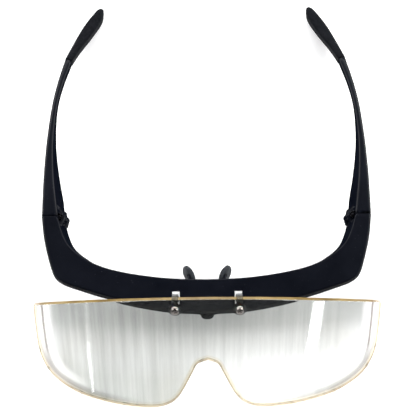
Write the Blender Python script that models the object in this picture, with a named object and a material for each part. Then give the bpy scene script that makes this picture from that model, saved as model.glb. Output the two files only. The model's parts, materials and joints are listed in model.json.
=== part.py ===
"""Head visor magnifier: a brow bar on folding temples that carries a tip-up visor lens.

Axes: X runs across the head, -Y points forwards, +Z up. The table is at Z = 0 and the
visor rests on it, tipped part of the way up. All sizes are in metres.
"""

import math

import bmesh
import bpy
from mathutils import Matrix, Vector

# ---- where the design sits in the frame ---------------------------------------------------
BAR_FRONT_Y = -0.0545       # the bar's top front edge; centres the object on the origin
GAP = 0.0003                # air between pieces that touch
SIDES = (("left", -1), ("right", 1))

# ---- brow bar ------------------------------------------------------------------------------
BAR_TOP = 0.024
TOP_WALL = 0.003
SIDE_WALL = 0.0017
# Rulings across half of the bar: outer edge X, Y, inner edge X, Y, underside height.
BAR_RULINGS = (
    (0.0000, -0.0030, 0.0000, 0.0118, 0.0135),
    (0.0160, -0.0022, 0.0150, 0.0123, 0.0133),
    (0.0322, 0.0004, 0.0300, 0.0140, 0.0130),
    (0.0464, 0.0040, 0.0430, 0.0166, 0.0125),
    (0.0576, 0.0075, 0.0510, 0.0195, 0.0118),
    (0.0644, 0.0100, 0.0562, 0.0226, 0.0110),
    (0.0683, 0.0133, 0.0600, 0.0254, 0.0101),
    (0.0711, 0.0207, 0.0631, 0.0288, 0.0092),
    (0.0737, 0.0309, 0.0656, 0.0340, 0.0082),
    (0.0750, 0.04085, 0.0678, 0.04085, 0.0074),
)
VOID_RULINGS = 8            # the underside is hollow up to this ruling
BROW_EDGE_DEPTH = 0.0023    # how far the rounded front edge reaches back at the centre
BROW_EDGE_DROP = 0.0042
END_EDGE = 0.0013           # the same edge where the bar meets the temple
REAR_EDGE = 0.0007

# ---- temple hinges -------------------------------------------------------------------------
HINGE = Vector((0.0671, 0.0410, 0.0))
KNUCKLE_RADIUS = 0.0019
HINGE_BORE = 0.0010
HINGE_SHANK = 0.0007
LOWER_EAR = (0.0098, 0.0131)
TONGUE = (0.0134, 0.0176)
UPPER_EAR = (0.0179, 0.0208)
LEAF_LENGTH = 0.0065        # how far a leaf runs along the wall that it grows from
LEAF_BITE = 0.0012          # how deep a leaf is rooted in that wall
HINGE_HEAD = (0.0016, 0.0009)   # radius and height of the screw head under the lower ear
HINGE_NUT = (0.0016, 0.0007)
NUT_ROOM = 0.0012           # headroom over the upper ear

# ---- temples and ear grips -----------------------------------------------------------------
# Stations: Y, centre X of the top edge, top, underside, thickness, outward lean of the foot.
TEMPLE_STATIONS = (
    (0.04115, 0.0714, 0.0240, 0.0074, 0.0072, -0.0002),
    (0.0500, 0.0723, 0.0234, 0.0080, 0.0059, -0.0008),
    (0.0620, 0.0733, 0.0222, 0.0093, 0.0044, -0.0004),
    (0.0780, 0.0736, 0.0206, 0.0100, 0.0031, 0.0008),
    (0.0950, 0.0726, 0.0188, 0.0098, 0.0026, 0.0018),
    (0.1080, 0.0708, 0.0166, 0.0084, 0.0028, 0.0018),
    (0.1214, 0.0679, 0.0138, 0.0056, 0.0034, 0.0018),
)
GRIP_RUN = Vector((-0.31, 0.95, 0.0)).normalized()      # where temple and grip meet
TANG_STATIONS = (
    (0.1205, 0.0683, 0.0126, 0.0072, 0.0014, 0.0010),
    (0.1310, 0.0645, 0.0095, 0.0045, 0.0014, 0.0010),
    (0.1410, 0.0601, 0.0072, 0.0030, 0.0013, 0.0008),
)
GRIP_STATIONS = (
    (0.1218, 0.0677, 0.0140, 0.0053, 0.0037, 0.0018),
    (0.1300, 0.0645, 0.0114, 0.0024, 0.0046, 0.0022),
    (0.1400, 0.0599, 0.0088, 0.0007, 0.0061, 0.0017),
    (0.1478, 0.0559, 0.0074, 0.0001, 0.0056, 0.0010),
    (0.1518, 0.0543, 0.0067, 0.0003, 0.0039, 0.0009),
    (0.1534, 0.0536, 0.0058, 0.0012, 0.0023, 0.0006),
    (0.1538, 0.0534, 0.0048, 0.0022, 0.0012, 0.0004),
)

# ---- nose bridge and pads ------------------------------------------------------------------
BRIDGE_TOP = 0.0132
BRIDGE_FLOOR = 0.0104
# Half of the bridge in plan, from its front stop round to the back.
BRIDGE_OUTLINE = (
    (0.0012, -0.0051), (0.0022, -0.0047), (0.0028, -0.0040), (0.0031, -0.0030),
    (0.0120, -0.0022), (0.0126, 0.0020), (0.0098, 0.0080), (0.0098, 0.0111), (0.0062, 0.0111),
    (0.0046, 0.0092),
)
BOSS = (0.0034, 0.0030, 0.0090)     # half width, front and back of the boss that takes the screw
BRIDGE_SCREW = (0.0017, 0.0010, 0.0075)     # head radius and height, length under the head
PAD_CENTRE = Vector((0.0078, 0.0152, 0.0))
PAD_HALF_SIZES = (0.0017, 0.0045)
PAD_SPLAY = math.radians(-25)
# Levels up a pad: height, scale of the section, outward shift.
PAD_LEVELS = (
    (0.0013, 0.30, 0.0023), (0.0017, 0.62, 0.0022), (0.0030, 0.86, 0.0019), (0.0060, 1.00, 0.0012),
    (0.0100, 1.00, 0.0002), (0.0120, 0.84, -0.0003), (0.0128, 0.58, -0.0005), (0.0131, 0.28, -0.0006),
)
PEG_X = 0.0081
PEG_ROOT = 0.0100
PEG_RADIUS = 0.0009
PEG_REACH = 0.0146

# ---- visor lens, in its own frame: Y runs down the lens (as -Y), Z is its front normal -----
PIVOT = Vector((0.0, 0.0034, BAR_TOP - TOP_WALL / 2))
DROOP = math.radians(30.96)     # how far the resting lens slopes below the horizontal
LENS_BACK = 0.0065              # the lens's back face stands this far from the pivot
LENS_THICKNESS = 0.0026
LENS_BEND_RADIUS = 0.400
LENS_TOP = -0.0044
LENS_TOP_ARCH = 0.0063
LENS_HALF_WIDTH = 0.0772
LENS_CORNER = 0.0004            # cut across each top corner
LENS_STRIP = 0.0032             # width of the flat strips that make up the bend
# Half of the lower outline: X and distance down the lens, from the nose notch outwards.
LENS_LOWER_EDGE = (
    (0.0000, 0.0260), (0.0046, 0.0282), (0.0073, 0.0336), (0.0127, 0.0446), (0.0180, 0.0498),
    (0.0265, 0.0518), (0.0430, 0.0506), (0.0597, 0.0461), (0.0711, 0.0381), (0.0763, 0.0271),
    (0.0772, 0.0131), (0.0771, 0.0026),
)

# ---- hooks that hang the lens from the bar -------------------------------------------------
HOOK_X = 0.0139
HOOK_WIDTH = 0.0028
HOOK_THICKNESS = 0.0007
HOOK_RISE = 0.0030              # straight stretch above the pivot pin
HOOK_BEND = 0.0008
EYE_RADIUS = 0.0012
EYE_BORE = 0.0008
PIN_RADIUS = 0.0005
PIN_HALF_LENGTH = 0.0040
SLOT_HALF_WIDTH = 0.0017
SLOT_FRONT = 0.0014
SLOT_BACK = 0.0066
SCREW_DOWN = 0.0                # the lens screws sit this far down the lens from the pivot
SCREW_HEAD = 0.00175
SCREW_HEAD_HEIGHT = 0.0013
SCREW_SHANK = 0.0009
SCREW_HOLE = 0.0012
HOOK_END = 0.0029
WASHER = (0.0016, 0.0004)       # outer radius, thickness
NUT = (0.0019, 0.0007)


# ---- shared tools --------------------------------------------------------------------------
def clear_scene():
    for item in list(bpy.data.objects):
        bpy.data.objects.remove(item, do_unlink=True)


def make_material(name, colour, roughness, metallic=0.0, alpha=1.0):
    material = bpy.data.materials.new(name)
    material.use_nodes = True
    shader = material.node_tree.nodes["Principled BSDF"]
    shader.inputs["Base Color"].default_value = (*colour, 1.0)
    shader.inputs["Roughness"].default_value = roughness
    shader.inputs["Metallic"].default_value = metallic
    shader.inputs["Alpha"].default_value = alpha
    material.diffuse_color = (*colour, alpha)
    return material


def make_object(name, shape, material, parent, at=(0, 0, 0), turn=(0, 0, 0)):
    """Turns a bmesh into a named object; at and turn are in the parent's frame."""
    bmesh.ops.recalc_face_normals(shape, faces=shape.faces)
    mesh = bpy.data.meshes.new(name)
    shape.to_mesh(mesh)
    shape.free()
    mesh.shade_smooth()
    mesh.set_sharp_from_angle(angle=math.radians(32))
    mesh.materials.append(material)
    item = bpy.data.objects.new(name, mesh)
    bpy.context.scene.collection.objects.link(item)
    item.parent = parent
    item.location = at
    item.rotation_euler = turn
    return item


def make_empty(name, parent, at, turn=(0, 0, 0)):
    item = bpy.data.objects.new(name, None)
    bpy.context.scene.collection.objects.link(item)
    item.parent = parent
    item.location = at
    item.rotation_euler = turn
    return item


def combine(item, operation, tool):
    """Adds a Boolean whose operand is a tool solid that isn't a piece of the object."""
    tool.hide_render = True
    tool.display_type = "WIRE"
    modifier = item.modifiers.new(operation.lower(), "BOOLEAN")
    modifier.operation = operation
    modifier.solver = "EXACT"
    modifier.object = tool


def smooth_through(points, steps):
    """Catmull-Rom curve through points of any dimension."""
    first = [2 * a - b for a, b in zip(points[0], points[1])]
    last = [2 * a - b for a, b in zip(points[-1], points[-2])]
    padded = [first, *points, last]
    curve = []
    for span in range(len(points) - 1):
        quad = padded[span:span + 4]
        for step in range(steps):
            t = step / steps
            curve.append(tuple(
                0.5 * (2 * b + (c - a) * t + (2 * a - 5 * b + 4 * c - d) * t**2
                       + (3 * b - a - 3 * c + d) * t**3)
                for a, b, c, d in zip(*quad)
            ))
    curve.append(tuple(points[-1]))
    return curve


def quarter_arc(centre, radii, start, steps=4):
    """Points of a quarter ellipse that starts at an angle and runs anticlockwise."""
    return [
        (centre[0] + radii[0] * math.cos(start + math.pi / 2 * k / steps),
         centre[1] + radii[1] * math.sin(start + math.pi / 2 * k / steps))
        for k in range(steps + 1)
    ]


def rounded_box(width, height, radius, steps=4):
    """Outline of a rounded rectangle about the origin."""
    x = width / 2 - radius
    y = height / 2 - radius
    points = []
    for index, (cx, cy) in enumerate(((x, y), (-x, y), (-x, -y), (x, -y))):
        points += quarter_arc((cx, cy), (radius, radius), index * math.pi / 2, steps)
    return points


def loft(rings, shape=None):
    """Closed solid through rings of equal length."""
    shape = shape or bmesh.new()
    loops = [[shape.verts.new(point) for point in ring] for ring in rings]
    for near, far in zip(loops, loops[1:]):
        for index in range(len(near)):
            after = (index + 1) % len(near)
            shape.faces.new((near[index], near[after], far[after], far[index]))
    shape.faces.new(loops[0])
    shape.faces.new(loops[-1])
    return shape


def prism(outline, low, high, shape=None):
    """Outline in X and Y, extruded from one height to another."""
    return loft([[(x, y, z) for x, y in outline] for z in (low, high)], shape)


def turned(profile, shape=None, centre=(0, 0), segments=28):
    """Solid of revolution about a vertical axis: profile is radius and height, bottom up."""
    rings = [
        [(centre[0] + r * math.cos(2 * math.pi * k / segments),
          centre[1] + r * math.sin(2 * math.pi * k / segments), z) for k in range(segments)]
        for r, z in profile
    ]
    return loft(rings, shape)


def collar(outer, bore, low, high, sides=24):
    """Flat ring: a washer, or a nut if it has six sides to each of its bore's circles."""
    angles = [2 * math.pi * k / 24 for k in range(24)]
    corner = 2 * math.pi / sides
    reach = [outer * math.cos(corner / 2) / math.cos((a % corner) - corner / 2) for a in angles]
    shape = bmesh.new()
    loops = []
    for radii, z in ((reach, low), (reach, high), ([bore] * 24, high), ([bore] * 24, low)):
        loops.append([shape.verts.new((r * math.cos(a), r * math.sin(a), z))
                      for r, a in zip(radii, angles)])
    for near, far in zip(loops, loops[1:] + loops[:1]):
        for index in range(24):
            after = (index + 1) % 24
            shape.faces.new((near[index], near[after], far[after], far[index]))
    return shape


def rod_along_x(radius, start, end, y, z, shape=None):
    shape = shape or bmesh.new()
    matrix = Matrix.Translation(((start + end) / 2, y, z)) @ Matrix.Rotation(math.pi / 2, 4, "Y")
    bmesh.ops.create_cone(shape, cap_ends=True, segments=24, radius1=radius, radius2=radius,
                          depth=abs(end - start), matrix=matrix)
    return shape


def block(low, high, shape=None):
    outline = [(low[0], low[1]), (high[0], low[1]), (high[0], high[1]), (low[0], high[1])]
    return prism(outline, low[2], high[2], shape)


def mirrored(side, points):
    return [(side * point[0], *point[1:]) for point in points]


def screw_profile(head_radius, head_height, shank_radius, tip, seat):
    """Pan-head screw along Z: the head stands on seat and the shank runs down to tip."""
    crown = quarter_arc((0, seat + head_height * 0.35), (head_radius, head_height * 0.65), 0, 5)[:-1]
    return [
        (shank_radius * 0.6, tip), (shank_radius, tip + shank_radius * 0.5), (shank_radius, seat),
        (head_radius, seat), *crown, (head_radius * 0.12, seat + head_height),
    ]


def cross_recess(reach, top, depth):
    """Cutter for a cross-head drive."""
    half = reach * 0.16
    arms = bmesh.new()
    outline = [
        (reach, half), (half, half), (half, reach), (-half, reach), (-half, half), (-reach, half),
        (-reach, -half), (-half, -half), (-half, -reach), (half, -reach), (half, -half), (reach, -half),
    ]
    return prism(outline, top - depth, top + depth, arms)


# ---- brow bar ------------------------------------------------------------------------------
def bar_sections():
    """Every ruling of the whole bar as outer point, inner point, underside and edge blend."""
    half = smooth_through(BAR_RULINGS, 5)
    whole = [(-r[0], r[1], -r[2], r[3], r[4]) for r in reversed(half[1:])] + list(half)
    middle = len(half) - 1
    sections = []
    for index, (ox, oy, ix, iy, floor) in enumerate(whole):
        blend = abs(index - middle) / middle
        sections.append((Vector((ox, oy, 0)), Vector((ix, iy, 0)), floor, blend**2))
    return sections


def bar_ring(outer, inner, floor, blend):
    """Outer skin of the bar at one ruling: flat top, rounded brow edge, small rear edge."""
    across = inner - outer
    width = across.length
    across.normalize()
    depth = BROW_EDGE_DEPTH + (END_EDGE - BROW_EDGE_DEPTH) * blend
    drop = BROW_EDGE_DROP + (END_EDGE - BROW_EDGE_DROP) * blend
    foot = REAR_EDGE
    profile = [(foot, floor), (0.0, floor + foot)]
    profile += [(x, z) for x, z in reversed(quarter_arc((depth, BAR_TOP - drop), (depth, drop),
                                                        math.pi / 2, 6))]
    profile += [(x, z) for x, z in reversed(quarter_arc((width - REAR_EDGE, BAR_TOP - REAR_EDGE),
                                                        (REAR_EDGE, REAR_EDGE), 0, 3))]
    profile += [(width, floor + foot), (width - foot, floor)]
    return [outer + across * x + Vector((0, 0, z)) for x, z in profile]


def void_ring(outer, inner, floor, blend):
    """The hollow under the bar's top wall, wider at its mouth."""
    across = inner - outer
    width = across.length
    across.normalize()
    brow = (BROW_EDGE_DEPTH + SIDE_WALL) * (1 - blend) + SIDE_WALL * blend
    ceiling = BAR_TOP - TOP_WALL
    profile = [
        (SIDE_WALL, floor - 0.002), (SIDE_WALL, BAR_TOP - BROW_EDGE_DROP - SIDE_WALL), (brow, ceiling),
        (width - SIDE_WALL, ceiling), (width - SIDE_WALL, floor - 0.002),
    ]
    return [outer + across * x + Vector((0, 0, z)) for x, z in profile]


def leaf(side, forwards, level):
    """One hinge knuckle with the leaf that roots it in the wall beside it."""
    steps = 14
    wall = HINGE.x + KNUCKLE_RADIUS + GAP + LEAF_BITE
    ahead = -1 if forwards else 1
    outline = [
        (HINGE.x - KNUCKLE_RADIUS * math.sin(math.pi * k / steps),
         HINGE.y - ahead * KNUCKLE_RADIUS * math.cos(math.pi * k / steps))
        for k in range(steps // 2 + 1)
    ]
    outline += [
        (HINGE.x - KNUCKLE_RADIUS * 0.6, HINGE.y + ahead * LEAF_LENGTH * 0.5),
        (wall, HINGE.y + ahead * LEAF_LENGTH),
        (wall, HINGE.y + ahead * 0.0006),
        (HINGE.x + KNUCKLE_RADIUS, HINGE.y + ahead * 0.0004),
    ]
    outline += [
        (HINGE.x + KNUCKLE_RADIUS * math.cos(math.pi / 2 * k / 6),
         HINGE.y - ahead * KNUCKLE_RADIUS * math.sin(math.pi / 2 * k / 6))
        for k in range(1, 6)
    ]
    return prism(mirrored(side, outline), *level)


def hinge_room(centre=(0, 0)):
    """Cutter that clears the knuckles, the screw head under them and the nut over them."""
    radius = KNUCKLE_RADIUS + GAP
    return turned(((radius, LOWER_EAR[0] / 2), (radius, UPPER_EAR[1] + NUT_ROOM)), centre=centre)


def make_brow_bar(plastic, frame):
    sections = bar_sections()
    bar = make_object("brow_bar", loft([bar_ring(*s) for s in sections]), plastic, frame)
    spare = (len(BAR_RULINGS) - 1 - VOID_RULINGS) * 5
    hollow = loft([void_ring(*s) for s in sections[spare:-spare]])
    combine(bar, "DIFFERENCE", make_object("bar_hollow_tool", hollow, plastic, frame))
    for side_name, side in SIDES:
        room = hinge_room((side * HINGE.x, HINGE.y))
        combine(bar, "DIFFERENCE", make_object(f"tongue_room_{side_name}_tool", room, plastic, frame))
        for level_name, level in (("lower", LOWER_EAR), ("upper", UPPER_EAR)):
            ear = make_object(f"ear_{level_name}_{side_name}_tool", leaf(side, True, level),
                              plastic, frame)
            combine(bar, "UNION", ear)
    boss = block((-BOSS[0], BOSS[1], BRIDGE_TOP + GAP), (BOSS[0], BOSS[2], BAR_TOP - TOP_WALL / 2))
    combine(bar, "UNION", make_object("bridge_boss_tool", boss, plastic, frame))
    cuts = bmesh.new()
    for _, side in SIDES:
        x = side * HOOK_X
        block((x - SLOT_HALF_WIDTH, SLOT_FRONT, BAR_TOP - 2 * TOP_WALL),
              (x + SLOT_HALF_WIDTH, SLOT_BACK, BAR_TOP + TOP_WALL), cuts)
        turned(((HINGE_BORE, LOWER_EAR[0] - GAP), (HINGE_BORE, UPPER_EAR[1] + GAP)), cuts,
               (side * HINGE.x, HINGE.y))
    middle = (BOSS[1] + BOSS[2]) / 2
    turned(((SCREW_HOLE, BRIDGE_TOP - 0.001), (SCREW_HOLE, BRIDGE_TOP + 0.0055)), cuts, (0, middle))
    combine(bar, "DIFFERENCE", make_object("bar_holes_tool", cuts, plastic, frame))
    bores = bmesh.new()
    for _, side in SIDES:
        reach = PIN_HALF_LENGTH + GAP
        rod_along_x(PIN_RADIUS + GAP, side * HOOK_X - reach, side * HOOK_X + reach,
                    PIVOT.y, PIVOT.z, bores)
    combine(bar, "DIFFERENCE", make_object("pin_bores_tool", bores, plastic, frame))
    return bar


# ---- nose bridge and pads ------------------------------------------------------------------
def make_nose_bridge(plastic, frame):
    right = list(BRIDGE_OUTLINE)
    outline = right + [(-x, y) for x, y in reversed(right)]
    bridge = make_object("nose_bridge", prism(outline, BRIDGE_FLOOR, BRIDGE_TOP), plastic, frame)
    edge = bridge.modifiers.new("edges", "BEVEL")
    edge.width = 0.0005
    edge.segments = 2
    edge.limit_method = "ANGLE"
    middle = (BOSS[1] + BOSS[2]) / 2
    hole = turned(((SCREW_HOLE, BRIDGE_FLOOR - 0.001), (SCREW_HOLE, BRIDGE_TOP + 0.001)),
                  centre=(0, middle))
    combine(bridge, "DIFFERENCE", make_object("bridge_hole_tool", hole, plastic, frame))
    for side_name, side in SIDES:
        peg = make_object(f"peg_{side_name}_tool", pad_peg(side, PEG_RADIUS, PEG_REACH),
                          plastic, frame)
        combine(bridge, "UNION", peg)
    return bridge


def pad_peg(side, radius, reach):
    """Peg that a nose pad is pushed on to; it runs back from the bridge's arm."""
    shape = bmesh.new()
    middle = Vector((side * PEG_X, (PEG_ROOT + reach) / 2, (BRIDGE_TOP + BRIDGE_FLOOR) / 2))
    matrix = Matrix.Translation(middle) @ Matrix.Rotation(math.pi / 2, 4, "X")
    bmesh.ops.create_cone(shape, cap_ends=True, segments=20, radius1=radius, radius2=radius,
                          depth=reach - PEG_ROOT, matrix=matrix)
    return shape


def make_nose_pad(name, side, rubber, frame):
    steps = 24
    rings = []
    for height, scale, shift in PAD_LEVELS:
        ring = []
        for k in range(steps):
            angle = 2 * math.pi * k / steps
            point = Vector((PAD_HALF_SIZES[0] * scale * math.cos(angle),
                            PAD_HALF_SIZES[1] * scale * math.sin(angle), height))
            point.rotate(Matrix.Rotation(PAD_SPLAY, 3, "Z"))
            point += PAD_CENTRE + Vector((shift, 0, 0))
            ring.append((side * point.x, point.y, point.z))
        rings.append(ring)
    pad = make_object(name, loft(rings), rubber, frame)
    socket = pad_peg(side, PEG_RADIUS + GAP, PEG_REACH + GAP)
    combine(pad, "DIFFERENCE", make_object(f"{name}_socket_tool", socket, rubber, frame))
    return pad


def make_bridge_screw(steel, frame):
    at = (0, (BOSS[1] + BOSS[2]) / 2, BRIDGE_FLOOR - GAP)
    upside_down = (math.pi, 0, 0)
    radius, height, length = BRIDGE_SCREW
    screw = make_object("bridge_screw", turned(screw_profile(radius, height, SCREW_SHANK, -length, 0.0)),
                        steel, frame, at, upside_down)
    recess = cross_recess(radius * 0.65, height, height / 2)
    combine(screw, "DIFFERENCE",
            make_object("bridge_screw_recess_tool", recess, steel, frame, at, upside_down))


# ---- temples and grips ---------------------------------------------------------------------
def arm_rings(side, stations, steps, corner, start=None, end=None, grow=0.0):
    """Rounded sections along an arm, square to its run in plan; grow swells them all round.

    start and end set the run at the first and last section, so that faces that meet match.
    """
    line = smooth_through(stations, steps)
    rings = []
    for index, (y, x, top, floor, thickness, lean) in enumerate(line):
        before = line[max(index - 1, 0)]
        after = line[min(index + 1, len(line) - 1)]
        run = Vector((after[1] - before[1], after[0] - before[0], 0)).normalized()
        if start and index == 0:
            run = start
        if end and index == len(line) - 1:
            run = end
        outward = Vector((run.y, -run.x, 0))
        height = top - floor + 2 * grow
        width = thickness + 2 * grow
        radius = min(corner + grow, width * 0.49, height * 0.49)
        ring = []
        for w, h in rounded_box(width, height, radius):
            leaning = lean * (0.5 - h / height)
            point = Vector((x, y, (top + floor) / 2 + h)) + outward * (w + leaning)
            ring.append((side * point.x, point.y, point.z))
        rings.append(ring)
    return rings


def about_hinge(shape, side):
    bmesh.ops.translate(shape, verts=shape.verts, vec=(-side * HINGE.x, -HINGE.y, 0))
    return shape


def make_temple(name, side, plastic, hinge):
    arm = loft(arm_rings(side, TEMPLE_STATIONS, 6, END_EDGE, Vector((0, 1, 0)), GRIP_RUN))
    temple = make_object(name, about_hinge(arm, side), plastic, hinge)
    tang = about_hinge(loft(arm_rings(side, TANG_STATIONS, 6, 0.0006)), side)
    combine(temple, "UNION", make_object(f"{name}_tang_tool", tang, plastic, hinge))
    combine(temple, "DIFFERENCE", make_object(f"{name}_room_tool", hinge_room(), plastic, hinge))
    tongue = about_hinge(leaf(side, False, TONGUE), side)
    combine(temple, "UNION", make_object(f"{name}_tongue_tool", tongue, plastic, hinge))
    bore = turned(((HINGE_BORE, TONGUE[0] - GAP), (HINGE_BORE, TONGUE[1] + GAP)))
    combine(temple, "DIFFERENCE", make_object(f"{name}_bore_tool", bore, plastic, hinge))


def make_ear_grip(name, side, rubber, hinge):
    grip = about_hinge(loft(arm_rings(side, GRIP_STATIONS, 5, 0.0016, GRIP_RUN)), side)
    item = make_object(name, grip, rubber, hinge)
    pocket = about_hinge(loft(arm_rings(side, TANG_STATIONS, 6, 0.0006, grow=GAP)), side)
    combine(item, "DIFFERENCE", make_object(f"{name}_pocket_tool", pocket, rubber, hinge))


def make_hinge_hardware(side_name, side, steel, frame):
    at = (side * HINGE.x, HINGE.y, LOWER_EAR[0] - GAP)
    upside_down = (math.pi, 0, 0)
    nut_floor = UPPER_EAR[1] + GAP
    tip = -(nut_floor + HINGE_NUT[1] - LOWER_EAR[0] + GAP)
    screw = make_object(f"hinge_screw_{side_name}",
                        turned(screw_profile(*HINGE_HEAD, HINGE_SHANK, tip, 0.0)),
                        steel, frame, at, upside_down)
    recess = cross_recess(HINGE_HEAD[0] * 0.6, HINGE_HEAD[1], HINGE_HEAD[1] / 2)
    combine(screw, "DIFFERENCE",
            make_object(f"hinge_recess_{side_name}_tool", recess, steel, frame, at, upside_down))
    nut = collar(HINGE_NUT[0], HINGE_SHANK + GAP, nut_floor, nut_floor + HINGE_NUT[1], 6)
    make_object(f"hinge_nut_{side_name}", nut, steel, frame, (side * HINGE.x, HINGE.y, 0))


# ---- visor lens ----------------------------------------------------------------------------
def lens_sag(x):
    """Depth of the bend at X, straight between the edges of the strips that make it up."""
    low = math.floor(abs(x) / LENS_STRIP) * LENS_STRIP
    share = (abs(x) - low) / LENS_STRIP
    depths = [LENS_BEND_RADIUS - math.sqrt(LENS_BEND_RADIUS**2 - edge**2)
              for edge in (low, low + LENS_STRIP)]
    return depths[0] * (1 - share) + depths[1] * share


def lens_outline():
    """Whole outline of the lens: X and distance down the lens from the pivot."""
    lower = smooth_through(LENS_LOWER_EDGE, 6)
    right = list(lower[1:])
    corner = LENS_LOWER_EDGE[-1][0]
    top_at = LENS_TOP + LENS_TOP_ARCH * (corner / LENS_HALF_WIDTH)**2
    right += [(corner, top_at + LENS_CORNER), (corner - LENS_CORNER, top_at)]
    count = 12
    for k in range(1, count):
        x = (corner - LENS_CORNER) * (1 - k / count)
        right.append((x, LENS_TOP + LENS_TOP_ARCH * (x / LENS_HALF_WIDTH)**2))
    left = [(-x, down) for x, down in reversed(right)]
    return [lower[0]] + right + [(0.0, LENS_TOP)] + left


def make_visor_lens(acrylic, pivot):
    shape = bmesh.new()
    face = shape.faces.new([shape.verts.new((x, -down, LENS_BACK)) for x, down in lens_outline()])
    strips = int(LENS_HALF_WIDTH / LENS_STRIP)
    for index in range(-strips, strips + 1):
        whole = shape.verts[:] + shape.edges[:] + shape.faces[:]
        bmesh.ops.bisect_plane(shape, geom=whole, dist=1e-6, plane_co=(index * LENS_STRIP, 0, 0),
                               plane_no=(1, 0, 0))
    raised = bmesh.ops.extrude_face_region(shape, geom=shape.faces[:])
    front = [item for item in raised["geom"] if isinstance(item, bmesh.types.BMVert)]
    bmesh.ops.translate(shape, verts=front, vec=(0, 0, LENS_THICKNESS))
    for vert in shape.verts:
        vert.co.z -= lens_sag(vert.co.x)
    lens = make_object("visor_lens", shape, acrylic, pivot)
    holes = bmesh.new()
    for _, side in SIDES:
        turned(((SCREW_HOLE, LENS_BACK - 0.003), (SCREW_HOLE, LENS_BACK + 0.005)), holes,
               (side * HOOK_X, -SCREW_DOWN))
    combine(lens, "DIFFERENCE", make_object("lens_holes_tool", holes, acrylic, pivot))


# ---- hooks and their fasteners -------------------------------------------------------------
def filleted(points, radius, steps=5):
    """Open path with its inner corners rounded by arcs."""
    path = [Vector(points[0])]
    for before, corner, after in zip(points, points[1:], points[2:]):
        corner = Vector(corner)
        back = (Vector(before) - corner).normalized()
        on = (Vector(after) - corner).normalized()
        half = back.angle(on) / 2
        centre = corner + (back + on).normalized() * (radius / math.sin(half))
        start = corner + back * (radius / math.tan(half)) - centre
        end = corner + on * (radius / math.tan(half)) - centre
        sweep = start.angle_signed(end)
        for k in range(steps + 1):
            arm = start.copy()
            arm.rotate(Matrix.Rotation(-sweep * k / steps, 2))
            path.append(centre + arm)
    path.append(Vector(points[-1]))
    return path


def strip(path, thickness):
    """Closed outline of a strip of even thickness that follows a path."""
    left, right = [], []
    for index, point in enumerate(path):
        run = (path[min(index + 1, len(path) - 1)] - path[max(index - 1, 0)]).normalized()
        normal = Vector((-run.y, run.x)) * (thickness / 2)
        left.append(point + normal)
        right.append(point - normal)
    return left + right[::-1]


def lens_faces_at_hook():
    """Heights of the lens's front and back faces over the pivot, along its normal, at a hook."""
    front = LENS_BACK + LENS_THICKNESS - lens_sag(HOOK_X)
    back = LENS_BACK - lens_sag(HOOK_X)
    return front, back


def make_lens_hook(side_name, side, clear, pivot):
    front, _ = lens_faces_at_hook()
    half = HOOK_THICKNESS / 2
    behind = -(LENS_TOP + LENS_TOP_ARCH * (HOOK_X / LENS_HALF_WIDTH)**2) + GAP + half
    over = front + GAP + half
    rise = (math.sin(DROOP) * HOOK_RISE, math.cos(DROOP) * HOOK_RISE)
    points = [(0, 0), rise, (behind, LENS_BACK - 0.0012), (behind, over), (-SCREW_DOWN, over)]
    outline = strip(filleted(points, HOOK_BEND), HOOK_THICKNESS)
    x = side * HOOK_X
    shape = loft([[(x + edge * HOOK_WIDTH / 2, p.x, p.y) for p in outline] for edge in (-1, 1)])
    hook = make_object(f"lens_hook_{side_name}", shape, clear, pivot)
    eye = rod_along_x(EYE_RADIUS, x - HOOK_WIDTH / 2, x + HOOK_WIDTH / 2, 0, 0)
    combine(hook, "UNION", make_object(f"hook_eye_{side_name}_tool", eye, clear, pivot))
    end = turned(((HOOK_END, over - half), (HOOK_END, over + half)), centre=(x, -SCREW_DOWN))
    combine(hook, "UNION", make_object(f"hook_end_{side_name}_tool", end, clear, pivot))
    bores = rod_along_x(EYE_BORE, x - HOOK_WIDTH, x + HOOK_WIDTH, 0, 0)
    turned(((SCREW_HOLE, over - 2 * half), (SCREW_HOLE, over + 2 * half)), bores, (x, -SCREW_DOWN))
    combine(hook, "DIFFERENCE", make_object(f"hook_bores_{side_name}_tool", bores, clear, pivot))


def make_lens_fasteners(side_name, side, steel, nylon, pivot):
    front, back = lens_faces_at_hook()
    at = (side * HOOK_X, -SCREW_DOWN, 0)
    washer_floor = front + HOOK_THICKNESS + 2 * GAP
    seat = washer_floor + WASHER[1] + GAP
    nut_top = back - GAP
    tip = nut_top - NUT[1] - 0.0002
    screw = turned(screw_profile(SCREW_HEAD, SCREW_HEAD_HEIGHT, SCREW_SHANK, tip, seat))
    screw_item = make_object(f"lens_screw_{side_name}", screw, steel, pivot, at)
    recess = cross_recess(0.0011, seat + SCREW_HEAD_HEIGHT, 0.0006)
    combine(screw_item, "DIFFERENCE",
            make_object(f"lens_recess_{side_name}_tool", recess, steel, pivot, at))
    washer = collar(WASHER[0], SCREW_SHANK + GAP, washer_floor, washer_floor + WASHER[1])
    make_object(f"lens_washer_{side_name}", washer, nylon, pivot, at)
    nut = collar(NUT[0], SCREW_SHANK + GAP, nut_top - NUT[1], nut_top, 6)
    make_object(f"lens_nut_{side_name}", nut, steel, pivot, at)


def make_pivot_pin(side_name, side, steel, frame):
    pin = rod_along_x(PIN_RADIUS, -PIN_HALF_LENGTH, PIN_HALF_LENGTH, 0, 0)
    make_object(f"lens_pivot_pin_{side_name}", pin, steel, frame,
                (side * HOOK_X, PIVOT.y, PIVOT.z))


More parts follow.
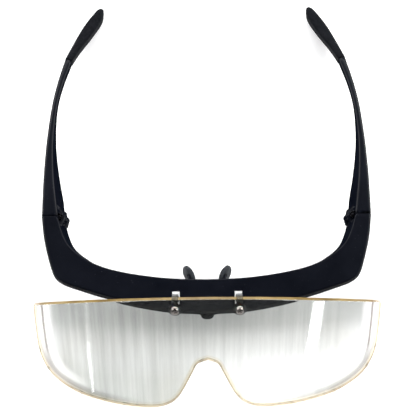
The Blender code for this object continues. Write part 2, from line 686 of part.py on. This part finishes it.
# ---- the whole object ----------------------------------------------------------------------
def main():
    clear_scene()
    plastic = make_material("black_plastic", (0.012, 0.013, 0.018), 0.42)
    rubber = make_material("soft_rubber", (0.035, 0.038, 0.042), 0.75)
    acrylic = make_material("clear_acrylic", (0.90, 0.93, 0.92), 0.04, alpha=0.35)
    clear = make_material("clear_plastic", (0.86, 0.88, 0.88), 0.12, alpha=0.5)
    nylon = make_material("white_nylon", (0.80, 0.80, 0.78), 0.45)
    steel = make_material("bright_steel", (0.62, 0.62, 0.60), 0.28, 1.0)

    frame = make_empty("frame_origin", None, (0, BAR_FRONT_Y, 0))
    lens_pivot = make_empty("lens_pivot", frame, PIVOT, (DROOP, 0, 0))
    make_brow_bar(plastic, frame)
    make_nose_bridge(plastic, frame)
    make_bridge_screw(steel, frame)
    make_visor_lens(acrylic, lens_pivot)
    for side_name, side in SIDES:
        hinge = make_empty(f"temple_hinge_{side_name}", frame, (side * HINGE.x, HINGE.y, 0))
        make_temple(f"temple_{side_name}", side, plastic, hinge)
        make_ear_grip(f"ear_grip_{side_name}", side, rubber, hinge)
        make_hinge_hardware(side_name, side, steel, frame)
        make_nose_pad(f"nose_pad_{side_name}", side, rubber, frame)
        make_pivot_pin(side_name, side, steel, frame)
        make_lens_hook(side_name, side, clear, lens_pivot)
        make_lens_fasteners(side_name, side, steel, nylon, lens_pivot)


main()
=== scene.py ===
"""Looks of the head visor magnifier: materials, lens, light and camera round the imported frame."""

import json
import math

import bmesh
import bpy
from mathutils import Matrix, Vector, kdtree


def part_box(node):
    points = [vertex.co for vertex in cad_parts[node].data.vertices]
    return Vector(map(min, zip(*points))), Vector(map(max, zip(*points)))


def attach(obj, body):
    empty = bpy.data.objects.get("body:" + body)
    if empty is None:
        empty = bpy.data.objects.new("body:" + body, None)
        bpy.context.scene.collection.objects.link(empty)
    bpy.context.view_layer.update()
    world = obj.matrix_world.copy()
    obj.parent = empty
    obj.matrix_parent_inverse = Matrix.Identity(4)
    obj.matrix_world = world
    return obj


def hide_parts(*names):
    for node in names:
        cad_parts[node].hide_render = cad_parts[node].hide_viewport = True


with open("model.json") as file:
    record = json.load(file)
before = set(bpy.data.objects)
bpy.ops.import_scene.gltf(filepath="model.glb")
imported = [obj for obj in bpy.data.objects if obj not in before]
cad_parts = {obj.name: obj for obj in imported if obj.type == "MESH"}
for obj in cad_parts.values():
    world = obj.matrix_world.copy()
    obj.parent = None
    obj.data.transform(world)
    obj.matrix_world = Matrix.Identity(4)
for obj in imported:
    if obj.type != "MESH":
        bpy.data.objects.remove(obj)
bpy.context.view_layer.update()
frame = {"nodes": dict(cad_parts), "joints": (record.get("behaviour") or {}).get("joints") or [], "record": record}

MM = 0.001
SIDES = ("left", "right")
JOINTS = {joint["name"]: joint for joint in frame["joints"]}
HINGE_LINE = JOINTS["temple_left_fold"]["pos_m"][1]
PIVOT = Vector(JOINTS["lens_flip"]["pos_m"])
BAR_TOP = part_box("brow_bar")[1].z

# ---- camera --------------------------------------------------------------------------------
VIEW_ELEVATION = math.radians(79.0)
VIEW_AZIMUTH = math.radians(0.5)
VIEW_DISTANCE = 0.270
VIEW_LENS_MM = 51.4
VIEW_SENSOR_MM = 36
VIEW_CLIP_START = 0.01
VIEW_TARGET = Vector((0.7 * MM, HINGE_LINE + 3.0 * MM, BAR_TOP))

# ---- lamps and surroundings ----------------------------------------------------------------
LIGHT_TARGET = (0.0, -0.04, 0.01)
# Softboxes: name, place, width and height, power.
SOFTBOXES = (
    ("softbox_left", (-0.62, 0.25, 0.45), (0.50, 0.60), 8.0),
    ("softbox_right", (0.62, 0.20, 0.45), (0.50, 0.60), 9.5),
    ("softbox_back", (0.0, 0.75, 0.50), (0.80, 0.40), 8.0),
)
# Strip lamps, which show as streaks in the lens: name, low end, high end, width, power.
STRIPS = (
    ("strip_right", (0.218, -0.512, 0.194), (0.245, -0.452, 0.255), 0.022, 0.120),
    ("strip_left", (-0.244, -0.529, 0.155), (-0.257, -0.488, 0.201), 0.004, 0.010),
    ("strip_left_faint", (-0.257, -0.488, 0.201), (-0.261, -0.455, 0.238), 0.003, 0.0025),
)
# The room's colour from the horizon upwards: height of the direction, colour.
ROOM_STOPS = ((0.0, (0.90, 0.91, 0.93)), (0.10, (0.45, 0.46, 0.48)),
              (0.24, (0.035, 0.036, 0.040)), (1.0, (0.03, 0.03, 0.035)))
BACKDROP = (1.2, 1.2, 1.2)      # what shows behind the object, also through the lens
ROOM_STRENGTH = 0.85
FLOOR_REACH = 2.5
FLOOR_GLOW = (0.25, 1.0)        # near the object, in the distance
FLOOR_GLOW_RUN = (0.35, 1.1)    # where the first ends and the second starts

# ---- visor lens, in its own frame: Y runs down the lens (as -Y), Z is its front normal -----
LENS_BACK = 6.5 * MM
LENS_THICKNESS = 2.6 * MM
LENS_BEND_RADIUS = 400 * MM
LENS_TOP = -4.4 * MM
LENS_TOP_ARCH = 6.3 * MM
LENS_HALF_WIDTH = 77.2 * MM
LENS_DEPTH = 50 * MM            # run of the painted shade and light from the pivot down the lens
LENS_CELL = 1.5 * MM            # the lens's faces are cut into cells of this size
LENS_CUT = 1e-7                 # points nearer than this to a cut lie on it
LENS_CURVE_STEPS = 14           # steps between two points of the lower outline
LENS_TOP_STEPS = 48             # steps along half of the top edge
GAP_STEPS = 80                  # finer steps, for measuring distances to the outline
LENS_RIM_EDGE = 0.35 * MM       # rounding between the faces and the polished rim
LENS_CORNER_START = 30 * MM     # from here outwards the lower outline is an end or a corner
RIM_GAP = "rim_gap"             # each vertex's distance from the lower outline
END_GAP = "end_gap"             # and from its ends and corners
# Half of the lower outline: X and distance down the lens, from the nose notch outwards.
LENS_LOWER_EDGE = (
    (0.0, 26.0), (4.6, 28.2), (7.3, 33.6), (12.7, 44.6), (18.0, 49.8), (26.5, 51.8),
    (43.0, 50.6), (59.7, 46.1), (71.1, 38.1), (76.3, 27.1), (77.2, 13.1), (77.1, 2.6),
)

LENS_SLOT, RIM_SLOT = 0, 1      # the lens's materials: its faces, its polished rim

# ---- finish of the pieces ------------------------------------------------------------------
ACRYLIC_IOR = 1.49
WELD = 0.001 * MM
SHARP_ANGLE = math.radians(35)
RIM_ANGLE = math.radians(60)    # lens edges sharper than this, and faces turned further, are rim

# ---- sockets of a colour Mix node ----------------------------------------------------------
MIX_FACTOR, MIX_FIRST, MIX_SECOND = 0, 6, 7
MIX_RESULT = 2


# ---- camera, light and floor ---------------------------------------------------------------
def new_object(name, data):
    item = bpy.data.objects.new(name, data)
    bpy.context.scene.collection.objects.link(item)
    return item


def add_camera():
    ahead = Vector((math.sin(VIEW_AZIMUTH) * math.cos(VIEW_ELEVATION),
                    math.cos(VIEW_AZIMUTH) * math.cos(VIEW_ELEVATION), -math.sin(VIEW_ELEVATION)))
    data = bpy.data.cameras.new("camera")
    data.lens = VIEW_LENS_MM
    data.sensor_width = VIEW_SENSOR_MM
    data.clip_start = VIEW_CLIP_START
    camera = new_object("camera", data)
    camera.location = VIEW_TARGET - ahead * VIEW_DISTANCE
    camera.rotation_euler = ahead.to_track_quat("-Z", "Y").to_euler()
    bpy.context.scene.camera = camera


def add_softbox(name, place, size, power):
    data = bpy.data.lights.new(name, "AREA")
    data.shape = "RECTANGLE"
    data.size, data.size_y = size
    data.energy = power
    light = new_object(name, data)
    light.location = place
    aim = Vector(LIGHT_TARGET) - Vector(place)
    light.rotation_euler = aim.to_track_quat("-Z", "Y").to_euler()
    return light


def add_strip(name, low_end, high_end, width, power):
    """Narrow lamp that runs between two points and faces the lens."""
    low_end, high_end = Vector(low_end), Vector(high_end)
    light = add_softbox(name, (low_end + high_end) / 2, (width, (high_end - low_end).length), power)
    length_axis = (high_end - low_end).normalized()
    away = light.location - PIVOT
    away = (away - away.dot(length_axis) * length_axis).normalized()
    across = length_axis.cross(away)
    light.rotation_euler = Matrix((across, length_axis, away)).transposed().to_euler()


def add_lights():
    for softbox in SOFTBOXES:
        add_softbox(*softbox)
    for strip in STRIPS:
        add_strip(*strip)


def set_world():
    """Room that is bright at the horizon and dark above, with a white backdrop for the camera."""
    world = bpy.data.worlds.new("studio")
    world.use_nodes = True
    bpy.context.scene.world = world
    tree = world.node_tree
    background = tree.nodes["Background"]
    place = add(tree, "ShaderNodeTexCoord", {}).outputs["Generated"]
    height = add(tree, "ShaderNodeSeparateXYZ", {"Vector": place}).outputs["Z"]
    room = add_ramp(tree, height, ROOM_STOPS)
    direct = add_either_ray(tree, "Is Camera Ray", "Is Transmission Ray")
    tree.links.new(add_mix(tree, direct, room, BACKDROP), background.inputs["Color"])
    background.inputs["Strength"].default_value = ROOM_STRENGTH


def add_floor():
    mesh = bpy.data.meshes.new("floor")
    corners = [(x * FLOOR_REACH, y * FLOOR_REACH, 0) for x, y in ((-1, -1), (1, -1), (1, 1), (-1, 1))]
    mesh.from_pydata(corners, [], [(0, 1, 2, 3)])
    mesh.materials.append(make_floor_material())
    new_object("floor", mesh)


# ---- node tools ----------------------------------------------------------------------------
def set_inputs(tree, node, inputs):
    """Links each input whose value is a socket and sets the others."""
    for key, value in inputs.items():
        if isinstance(value, bpy.types.NodeSocket):
            tree.links.new(value, node.inputs[key])
        else:
            node.inputs[key].default_value = value


def add(tree, kind, inputs, **settings):
    """Adds a node with its settings and inputs."""
    node = tree.nodes.new(kind)
    for key, value in settings.items():
        setattr(node, key, value)
    set_inputs(tree, node, inputs)
    return node


def opaque(colour):
    """Colour with full alpha; a socket passes unchanged."""
    return colour if isinstance(colour, bpy.types.NodeSocket) else (*colour, 1.0)


def add_ramp(tree, factor, stops):
    """Colour ramp: stops are position and colour."""
    node = add(tree, "ShaderNodeValToRGB", {"Fac": factor})
    elements = node.color_ramp.elements
    while len(elements) < len(stops):
        elements.new(0.5)
    for element, (position, colour) in zip(elements, stops):
        element.position = position
        element.color = opaque(colour)
    return node.outputs["Color"]


def add_noise(tree, place, size, detail=4.0, roughness=0.55):
    """Noise whose features are about size metres across."""
    node = add(tree, "ShaderNodeTexNoise", {"Vector": place, "Scale": 1.0 / size, "Detail": detail,
                                            "Roughness": roughness})
    return node.outputs["Fac"]


def add_range(tree, value, low, high, start=0.3, end=0.7):
    node = add(tree, "ShaderNodeMapRange", {"Value": value, "From Min": start, "From Max": end,
                                            "To Min": low, "To Max": high})
    return node.outputs["Result"]


def add_mix(tree, factor, first, second, blend="MIX"):
    inputs = {MIX_FACTOR: factor, MIX_FIRST: opaque(first), MIX_SECOND: opaque(second)}
    node = add(tree, "ShaderNodeMix", inputs, data_type="RGBA", blend_type=blend)
    return node.outputs[MIX_RESULT]


def add_product(tree, first, second):
    """Product of two colours."""
    return add_mix(tree, 1.0, first, second, "MULTIPLY")


def add_maths(tree, operation, *values):
    return add(tree, "ShaderNodeMath", dict(enumerate(values)), operation=operation).outputs[0]


def add_either_ray(tree, first, second):
    """1 for the rays of either kind, 0 for all others."""
    rays = add(tree, "ShaderNodeLightPath", {}).outputs
    return add_maths(tree, "MAXIMUM", rays[first], rays[second])


def add_gap(tree, name):
    """Distance that add_gaps stored at the lens's vertices."""
    return add(tree, "ShaderNodeAttribute", {}, attribute_name=name).outputs["Fac"]


def add_bump(tree, height, depth, strength, normal=None):
    inputs = {"Height": height, "Distance": depth, "Strength": strength}
    if normal:
        inputs["Normal"] = normal
    return add(tree, "ShaderNodeBump", inputs).outputs["Normal"]


def new_material(name):
    material = bpy.data.materials.new(name)
    material.use_nodes = True
    tree = material.node_tree
    place = add(tree, "ShaderNodeTexCoord", {}).outputs["Object"]
    return material, tree, tree.nodes["Principled BSDF"], place


def rounded_edges(tree, radius):
    return add(tree, "ShaderNodeBevel", {"Radius": radius}, samples=4).outputs["Normal"]


# ---- materials -----------------------------------------------------------------------------
def make_plastic(name, dark, light):
    """Moulded black plastic: spark-eroded grain, handling marks and a little dust."""
    material, tree, shader, place = new_material(name)
    mottle = add_noise(tree, place, 14 * MM, 3.0)
    smears = add_noise(tree, place, 4 * MM, 6.0, 0.7)
    grain = add_noise(tree, place, 0.22 * MM, 2.0)
    dust = add_noise(tree, place, 0.7 * MM, 1.0)
    colour = add_mix(tree, add_range(tree, mottle, 0.0, 1.0), dark, light)
    colour = add_mix(tree, add_range(tree, dust, 0.0, 0.14, 0.75, 0.81), colour, (0.20, 0.21, 0.23))
    normal = add_bump(tree, grain, 0.012 * MM, 0.55, rounded_edges(tree, 0.35 * MM))
    turned = add(tree, "ShaderNodeLayerWeight", {"Blend": 0.5, "Normal": normal}).outputs["Facing"]
    gloss = add_ramp(tree, turned, ((0.15, (0.035, 0.035, 0.035)), (0.34, (0.22, 0.22, 0.22)),
                                    (0.50, (0.06, 0.06, 0.06)), (0.70, (0.0, 0.0, 0.0))))
    set_inputs(tree, shader, {
        "Base Color": colour, "Roughness": add_range(tree, smears, 0.38, 0.52), "Normal": normal,
        "IOR": 1.50, "Specular IOR Level": gloss,
    })
    return material


def make_rubber(name, dark, light, gloss):
    """Soft rubber with a fine stipple and a faint bloom."""
    material, tree, shader, place = new_material(name)
    mottle = add_noise(tree, place, 1.5 * MM, 6.0, 0.65)
    cells = add(tree, "ShaderNodeTexVoronoi", {"Vector": place, "Scale": 1.0 / (0.42 * MM)})
    grain = add_noise(tree, place, 0.16 * MM, 2.0)
    colour = add_mix(tree, add_range(tree, mottle, 0.0, 1.0), dark, light)
    stipple = add_bump(tree, cells.outputs["Distance"], 0.03 * MM, 0.6,
                       rounded_edges(tree, 0.4 * MM))
    set_inputs(tree, shader, {
        "Base Color": colour, "Roughness": add_range(tree, grain, 0.62, 0.82),
        "Normal": add_bump(tree, grain, 0.012 * MM, 0.5, stipple),
        "IOR": 1.45, "Specular IOR Level": gloss, "Sheen Weight": 0.01, "Sheen Roughness": 0.5,
    })
    return material


def see_through(tree, shader, material, shade):
    """Lets light that casts shadows pass straight through, dimmed to shade."""
    output = tree.nodes["Material Output"]
    passing = add_either_ray(tree, "Is Shadow Ray", "Is Diffuse Ray")
    clear = add(tree, "ShaderNodeBsdfTransparent", {"Color": (*shade, 1.0)})
    mix = add(tree, "ShaderNodeMixShader", {0: passing, 1: shader.outputs[0],
                                            2: clear.outputs["BSDF"]})
    tree.links.new(mix.outputs["Shader"], output.inputs["Surface"])
    return material


def grey_stops(stops):
    """Ramp stops from position and brightness; the darker the grey, the greener it is."""
    return [(position, (grey - 0.03 * (1 - grey), grey, grey - 0.03 * (1 - grey)))
            for position, grey in stops]


def lens_painted_shade(tree, across, depth, draw_lines_and_painted_streaks):
    """Painted shade of the bar and lens on the table below, seen through the sheet: darkest towards the hooks,
    with painted reflection streaks that show most at the left.
    """
    left = add_ramp(tree, depth, grey_stops(((0.0, 0.49), (0.18, 0.53), (0.30, 0.62), (0.42, 0.67),
                                             (0.55, 0.67), (0.75, 0.58), (1.0, 0.56))))
    right = add_ramp(tree, depth, grey_stops(((0.0, 0.51), (0.18, 0.57), (0.30, 0.71),
                                              (0.42, 0.80), (0.55, 0.90), (1.0, 0.92))))
    painted_light_and_shade = add_mix(tree, add_range(tree, across, 0.0, 1.0, -14 * MM, 20 * MM), left, right)
    # how dark the painted streaks go: darkest at the left
    painted_streak_depth = add_range(tree, across, 0.85, 0.95, -34 * MM, -12 * MM)
    return add_product(tree, painted_light_and_shade, add_range(tree, draw_lines_and_painted_streaks, painted_streak_depth, 1.08, 0.35, 0.65))


def lens_painted_ends(tree, painted_light_and_shade, depth, from_middle):
    """Paints light on the ends as a clear bright band, and paints a fine dark line of shade and a low crescent of
    shade inside them.
    """
    end_gap = add_gap(tree, END_GAP)
    painted_bright_band = add_maths(tree, "MULTIPLY",
                           add_range(tree, from_middle, 0.0, 1.0, 54 * MM, 68 * MM),
                           add_range(tree, end_gap, 1.0, 0.0, 6.4 * MM, 9.0 * MM))
    painted_light_and_shade = add_mix(tree, painted_bright_band, painted_light_and_shade, (0.99, 0.99, 0.99))
    inwards = add_range(tree, end_gap, 0.0, 1.0, 0.0, 5 * MM)
    painted_shade_line = add_ramp(tree, inwards, ((0.66, (0.97, 0.96, 0.95)), (0.75, (0.34, 0.31, 0.29)),
                                        (0.82, (0.34, 0.31, 0.29)), (0.92, (1.0, 1.0, 1.0))))
    painted_shade_line = add_mix(tree, add_range(tree, depth, 0.0, 1.0, 0.45, 0.65), painted_shade_line, (1, 1, 1))
    painted_shade_crescent = add_ramp(tree, inwards, ((0.12, (1.0, 1.0, 1.0)), (0.28, (0.53, 0.51, 0.50)),
                                        (0.62, (0.45, 0.44, 0.43)), (0.95, (0.96, 0.96, 0.96))))
    low_corner = add_maths(tree, "MULTIPLY", add_range(tree, depth, 0.0, 1.0, 0.35, 0.62),
                           add_range(tree, from_middle, 0.0, 1.0, 26 * MM, 62 * MM))
    painted_shade_crescent = add_mix(tree, low_corner, (1, 1, 1), painted_shade_crescent)
    return add_product(tree, painted_light_and_shade, add_product(tree, painted_shade_line, painted_shade_crescent))


def lens_painted_rim_glow(tree):
    """Painted amber glow just inside the lower outline, then a faint painted second line."""
    inwards = add_range(tree, add_gap(tree, RIM_GAP), 0.0, 1.0, 0.0, 2 * MM)
    return add_ramp(tree, inwards, ((0.0, (0.60, 0.46, 0.28)), (0.20, (0.70, 0.58, 0.40)),
                                    (0.30, (0.97, 0.92, 0.78)), (0.55, (0.97, 0.94, 0.84)),
                                    (0.66, (0.80, 0.70, 0.56)), (0.80, (0.97, 0.96, 0.94)),
                                    (1.0, (1.0, 1.0, 1.0))))


def make_acrylic():
    """Clear bent acrylic whose colour holds painted shade and light, set by place and by the distance from its
    outline.
    """
    material, tree, shader, place = new_material("visor_acrylic")
    split = add(tree, "ShaderNodeSeparateXYZ", {"Vector": place})
    across = split.outputs["X"]
    from_middle = add_maths(tree, "ABSOLUTE", across)
    depth = add_range(tree, split.outputs["Y"], 0.0, 1.0, 0.0, -LENS_DEPTH)
    stretched = add(tree, "ShaderNodeMapping", {"Vector": place, "Scale": (1.0, 0.03, 0.03)})
    # stretched noise: painted reflection streaks in the colour, fine draw lines in the bump
    draw_lines_and_painted_streaks = add_noise(tree, stretched.outputs["Vector"], 3.0 * MM, 5.0, 0.7)
    # painted shade of the bar and lens on the table below, with painted streaks
    painted_light_and_shade = lens_painted_shade(tree, across, depth, draw_lines_and_painted_streaks)
    # painted light on the ends, with painted lines of shade inside them
    painted_light_and_shade = lens_painted_ends(tree, painted_light_and_shade, depth, from_middle)
    wipes = add_noise(tree, place, 9 * MM, 5.0, 0.7)
    fine = add_noise(tree, stretched.outputs["Vector"], 0.35 * MM, 2.0)
    normal = add_bump(tree, draw_lines_and_painted_streaks, 0.02 * MM, 0.35)
    # base colour: the painted shade and light times the painted rim glow
    set_inputs(tree, shader, {
        "Base Color": add_product(tree, painted_light_and_shade, lens_painted_rim_glow(tree)),
        "Roughness": add_range(tree, wipes, 0.0, 0.04, 0.45, 0.8),
        "Normal": add_bump(tree, fine, 0.002 * MM, 0.25, normal),
        "IOR": ACRYLIC_IOR, "Transmission Weight": 1.0,
    })
    return see_through(tree, shader, material, (0.93, 0.94, 0.935))


def make_painted_rim_glow():
    """The lens's cut rim, its colour a painted amber glow of the light it gathers: darker along the top, paler
    along the lower outline.
    """
    material, tree, shader, place = new_material("rim_painted_amber_glow")
    bands = add_noise(tree, place, 7 * MM, 3.0)
    saw = add_noise(tree, place, 0.3 * MM, 2.0)
    # painted glow: darker along the top, paler along the lower outline
    top = add_mix(tree, add_range(tree, bands, 0.0, 1.0), (0.13, 0.082, 0.021),
                  (0.26, 0.182, 0.062))
    lower = add_mix(tree, add_range(tree, bands, 0.0, 1.0), (0.38, 0.31, 0.23),
                    (0.60, 0.54, 0.45))
    above_outline = add_range(tree, add_gap(tree, RIM_GAP), 0.0, 1.0, 1 * MM, 4 * MM)
    colour = add_mix(tree, above_outline, lower, top)
    set_inputs(tree, shader, {
        "Base Color": colour, "Roughness": add_range(tree, saw, 0.30, 0.50),
        "Normal": add_bump(tree, saw, 0.008 * MM, 0.5), "IOR": ACRYLIC_IOR,
        "Transmission Weight": 0.12, "Specular IOR Level": 0.3,
    })
    return see_through(tree, shader, material, (0.85, 0.74, 0.52))


def make_clear_plastic():
    """Thin clear moulded strap of the hooks: mostly what is behind it shows."""
    material, tree, shader, place = new_material("clear_hook")
    haze = add_noise(tree, place, 1.2 * MM, 4.0)
    set_inputs(tree, shader, {
        "Base Color": add_mix(tree, add_range(tree, haze, 0.0, 1.0), (0.80, 0.82, 0.82),
                              (0.92, 0.93, 0.93)),
        "Roughness": add_range(tree, haze, 0.03, 0.12),
        "Normal": add_bump(tree, haze, 0.01 * MM, 0.4, rounded_edges(tree, 0.2 * MM)),
        "IOR": ACRYLIC_IOR, "Transmission Weight": 1.0,
    })
    body = add(tree, "ShaderNodeBsdfTransparent", {"Color": (0.60, 0.61, 0.61, 1.0)})
    strap = add(tree, "ShaderNodeMixShader", {0: add_range(tree, haze, 0.74, 0.90),
                                              1: shader.outputs["BSDF"],
                                              2: body.outputs["BSDF"]})
    return see_through(tree, strap, material, (0.9, 0.9, 0.9))


def make_steel(name, dark, light):
    """Turned steel with fine machining marks and grime in its wear."""
    material, tree, shader, place = new_material(name)
    wear = add_noise(tree, place, 0.8 * MM, 5.0)
    lines = add_noise(tree, place, 0.06 * MM, 2.0)
    set_inputs(tree, shader, {
        "Base Color": add_mix(tree, add_range(tree, wear, 0.0, 1.0), dark, light),
        "Metallic": 1.0, "Roughness": add_range(tree, wear, 0.16, 0.34),
        "Normal": add_bump(tree, lines, 0.003 * MM, 0.5, rounded_edges(tree, 0.15 * MM)),
        "Anisotropic": 0.35,
    })
    return material


def make_nylon():
    """Milky washer plastic that light soaks into."""
    material, tree, shader, place = new_material("washer_nylon")
    haze = add_noise(tree, place, 0.5 * MM, 4.0)
    set_inputs(tree, shader, {
        "Base Color": add_mix(tree, haze, (0.66, 0.66, 0.63), (0.82, 0.82, 0.80)),
        "Roughness": add_range(tree, haze, 0.35, 0.55), "Subsurface Weight": 0.3,
        "Subsurface Scale": 0.5 * MM, "Normal": rounded_edges(tree, 0.15 * MM),
    })
    return material


def make_floor_material():
    """Plain pale table top, very softly uneven, that brightens to white in the distance."""
    material, tree, shader, place = new_material("pale_floor")
    cloud = add_noise(tree, place, 60 * MM, 3.0)
    grain = add_noise(tree, place, 0.9 * MM, 3.0)
    away = add(tree, "ShaderNodeVectorMath", {0: place}, operation="LENGTH").outputs["Value"]
    set_inputs(tree, shader, {
        "Base Color": add_mix(tree, cloud, (0.90, 0.90, 0.90), (0.93, 0.93, 0.93)),
        "Emission Color": (1.0, 1.0, 1.0, 1.0),
        "Emission Strength": add_range(tree, away, *FLOOR_GLOW, *FLOOR_GLOW_RUN),
        "Roughness": 0.7, "Specular IOR Level": 0.25,
        "Normal": add_bump(tree, grain, 0.01 * MM, 0.15),
    })
    return material


# ---- pieces --------------------------------------------------------------------------------
def body_of(node):
    for body, members in frame["record"]["behaviour"]["bodies"].items():
        if node in members:
            return body


def make_piece(mesh):
    """Object of a mesh, shaded by its larger faces."""
    piece = new_object(mesh.name, mesh)
    weighted = piece.modifiers.new("weighted_normals", "WEIGHTED_NORMAL")
    weighted.keep_sharp = True
    return piece


def hand_over(piece, node):
    """The piece takes a CAD node's place and body."""
    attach(piece, body_of(node))
    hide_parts(node)


def refine(node, material):
    """Smooth-shaded copy of a CAD node: welded, with only its real edges left sharp."""
    shape = bmesh.new()
    shape.from_mesh(frame["nodes"][node].data)
    bmesh.ops.remove_doubles(shape, verts=shape.verts, dist=WELD)
    mesh = bpy.data.meshes.new(node + "_fine")
    shape.to_mesh(mesh)
    shape.free()
    mesh.materials.clear()
    mesh.materials.append(material)
    mesh.shade_smooth()
    mesh.set_sharp_from_angle(angle=SHARP_ANGLE)
    hand_over(make_piece(mesh), node)


def smooth_through(points, steps):
    """Catmull-Rom curve through points."""
    first = [2 * a - b for a, b in zip(points[0], points[1])]
    last = [2 * a - b for a, b in zip(points[-1], points[-2])]
    padded = [first, *points, last]
    curve = []
    for span in range(len(points) - 1):
        quad = padded[span:span + 4]
        for step in range(steps):
            t = step / steps
            curve.append(tuple(
                0.5 * (2 * b + (c - a) * t + (2 * a - 5 * b + 4 * c - d) * t**2
                       + (3 * b - a - 3 * c + d) * t**3)
                for a, b, c, d in zip(*quad)
            ))
    curve.append(tuple(points[-1]))
    return curve


def lower_curve():
    """Right half of the lens's lower edge and end: X and distance down the lens."""
    return [(x * MM, down * MM) for x, down in smooth_through(LENS_LOWER_EDGE, LENS_CURVE_STEPS)]


def lens_outline():
    """Whole outline of the lens: X and distance down the lens from the pivot."""
    right = lower_curve()
    corner = right[-1][0]
    for k in range(LENS_TOP_STEPS):
        x = corner * (1 - k / LENS_TOP_STEPS)
        right.append((x, LENS_TOP + LENS_TOP_ARCH * (x / LENS_HALF_WIDTH)**2))
    left = [(-x, down) for x, down in reversed(right[1:])]
    return right + [(0.0, LENS_TOP)] + left


def lens_droop():
    """Slope of the resting lens, read from the line through a screw's washer and nut."""
    middles = [(low + high) / 2 for low, high in (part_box("lens_nut_left"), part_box("lens_washer_left"))]
    normal = middles[1] - middles[0]
    return math.atan2(-normal.y, normal.z)


def add_gaps(shape):
    """Stores each vertex's distance from the lower outline, for the acrylic's painted shade and light."""
    lower = [(side * x * MM, -down * MM) for x, down in smooth_through(LENS_LOWER_EDGE, GAP_STEPS)
             for side in (-1, 1)]
    ends = [point for point in lower if abs(point[0]) > LENS_CORNER_START]
    for name, points in ((RIM_GAP, lower), (END_GAP, ends)):
        layer = shape.verts.layers.float.new(name)
        tree = kdtree.KDTree(len(points))
        for index, (x, y) in enumerate(points):
            tree.insert((x, y, 0), index)
        tree.balance()
        for vert in shape.verts:
            vert[layer] = tree.find((vert.co.x, vert.co.y, 0))[2]


def make_lens(acrylic, rim):
    shape = bmesh.new()
    shape.faces.new([shape.verts.new((x, -down, LENS_BACK)) for x, down in lens_outline()])
    reach = int(LENS_HALF_WIDTH / LENS_CELL)
    cuts = [((index * LENS_CELL, 0, 0), (1, 0, 0)) for index in range(-reach, reach + 1)]
    lowest = max(down for _, down in LENS_LOWER_EDGE) * MM
    rows = int((lowest - LENS_TOP) / LENS_CELL)
    cuts += [((0, -LENS_TOP - index * LENS_CELL, 0), (0, 1, 0)) for index in range(rows + 1)]
    for point, normal in cuts:
        bmesh.ops.bisect_plane(shape, geom=shape.verts[:] + shape.edges[:] + shape.faces[:],
                               dist=LENS_CUT, plane_co=point, plane_no=normal)
    raised = bmesh.ops.extrude_face_region(shape, geom=shape.faces[:])
    front = [item for item in raised["geom"] if isinstance(item, bmesh.types.BMVert)]
    bmesh.ops.translate(shape, verts=front, vec=(0, 0, LENS_THICKNESS))
    bmesh.ops.recalc_face_normals(shape, faces=shape.faces)
    edges = [edge for edge in shape.edges if edge.calc_face_angle(0) > RIM_ANGLE]
    bmesh.ops.bevel(shape, geom=edges, offset=LENS_RIM_EDGE, segments=3, profile=0.5,
                    affect="EDGES")
    for face in shape.faces:
        face.smooth = True
        turned_away = abs(face.normal.z) < math.cos(RIM_ANGLE)
        face.material_index = RIM_SLOT if turned_away else LENS_SLOT
    add_gaps(shape)
    for vert in shape.verts:
        vert.co.z -= LENS_BEND_RADIUS - math.sqrt(LENS_BEND_RADIUS**2 - vert.co.x**2)
    mesh = bpy.data.meshes.new("visor_lens_fine")
    shape.to_mesh(mesh)
    shape.free()
    mesh.materials.append(acrylic)
    mesh.materials.append(rim)
    lens = make_piece(mesh)
    lens.location = PIVOT
    lens.rotation_euler = (lens_droop(), 0, 0)
    hand_over(lens, "visor_lens")


def dress_pieces():
    plastic = make_plastic("moulded_black", (0.0018, 0.0024, 0.0046), (0.0040, 0.0048, 0.0080))
    grip_rubber = make_rubber("grip_rubber", (0.0008, 0.0011, 0.0020), (0.0070, 0.0076, 0.0100), 0.05)
    pad_rubber = make_rubber("pad_rubber", (0.012, 0.014, 0.017), (0.032, 0.035, 0.040), 0.14)
    clear = make_clear_plastic()
    screw_steel = make_steel("screw_steel", (0.16, 0.14, 0.13), (0.38, 0.35, 0.33))
    black_steel = make_steel("blackened_steel", (0.012, 0.012, 0.014), (0.035, 0.035, 0.040))
    nylon = make_nylon()
    refine("brow_bar", plastic)
    refine("nose_bridge", plastic)
    refine("bridge_screw", black_steel)
    for side in SIDES:
        refine(f"temple_{side}", plastic)
        refine(f"ear_grip_{side}", grip_rubber)
        refine(f"nose_pad_{side}", pad_rubber)
        refine(f"lens_hook_{side}", clear)
        refine(f"lens_washer_{side}", nylon)
        for fastener in ("lens_screw", "lens_nut", "lens_pivot_pin"):
            refine(f"{fastener}_{side}", screw_steel)
        for fastener in ("hinge_screw", "hinge_nut"):
            refine(f"{fastener}_{side}", black_steel)
    make_lens(make_acrylic(), make_painted_rim_glow())


add_camera()
set_world()
add_floor()
add_lights()
dress_pieces()
bpy.context.scene.view_settings.view_transform = "Standard"
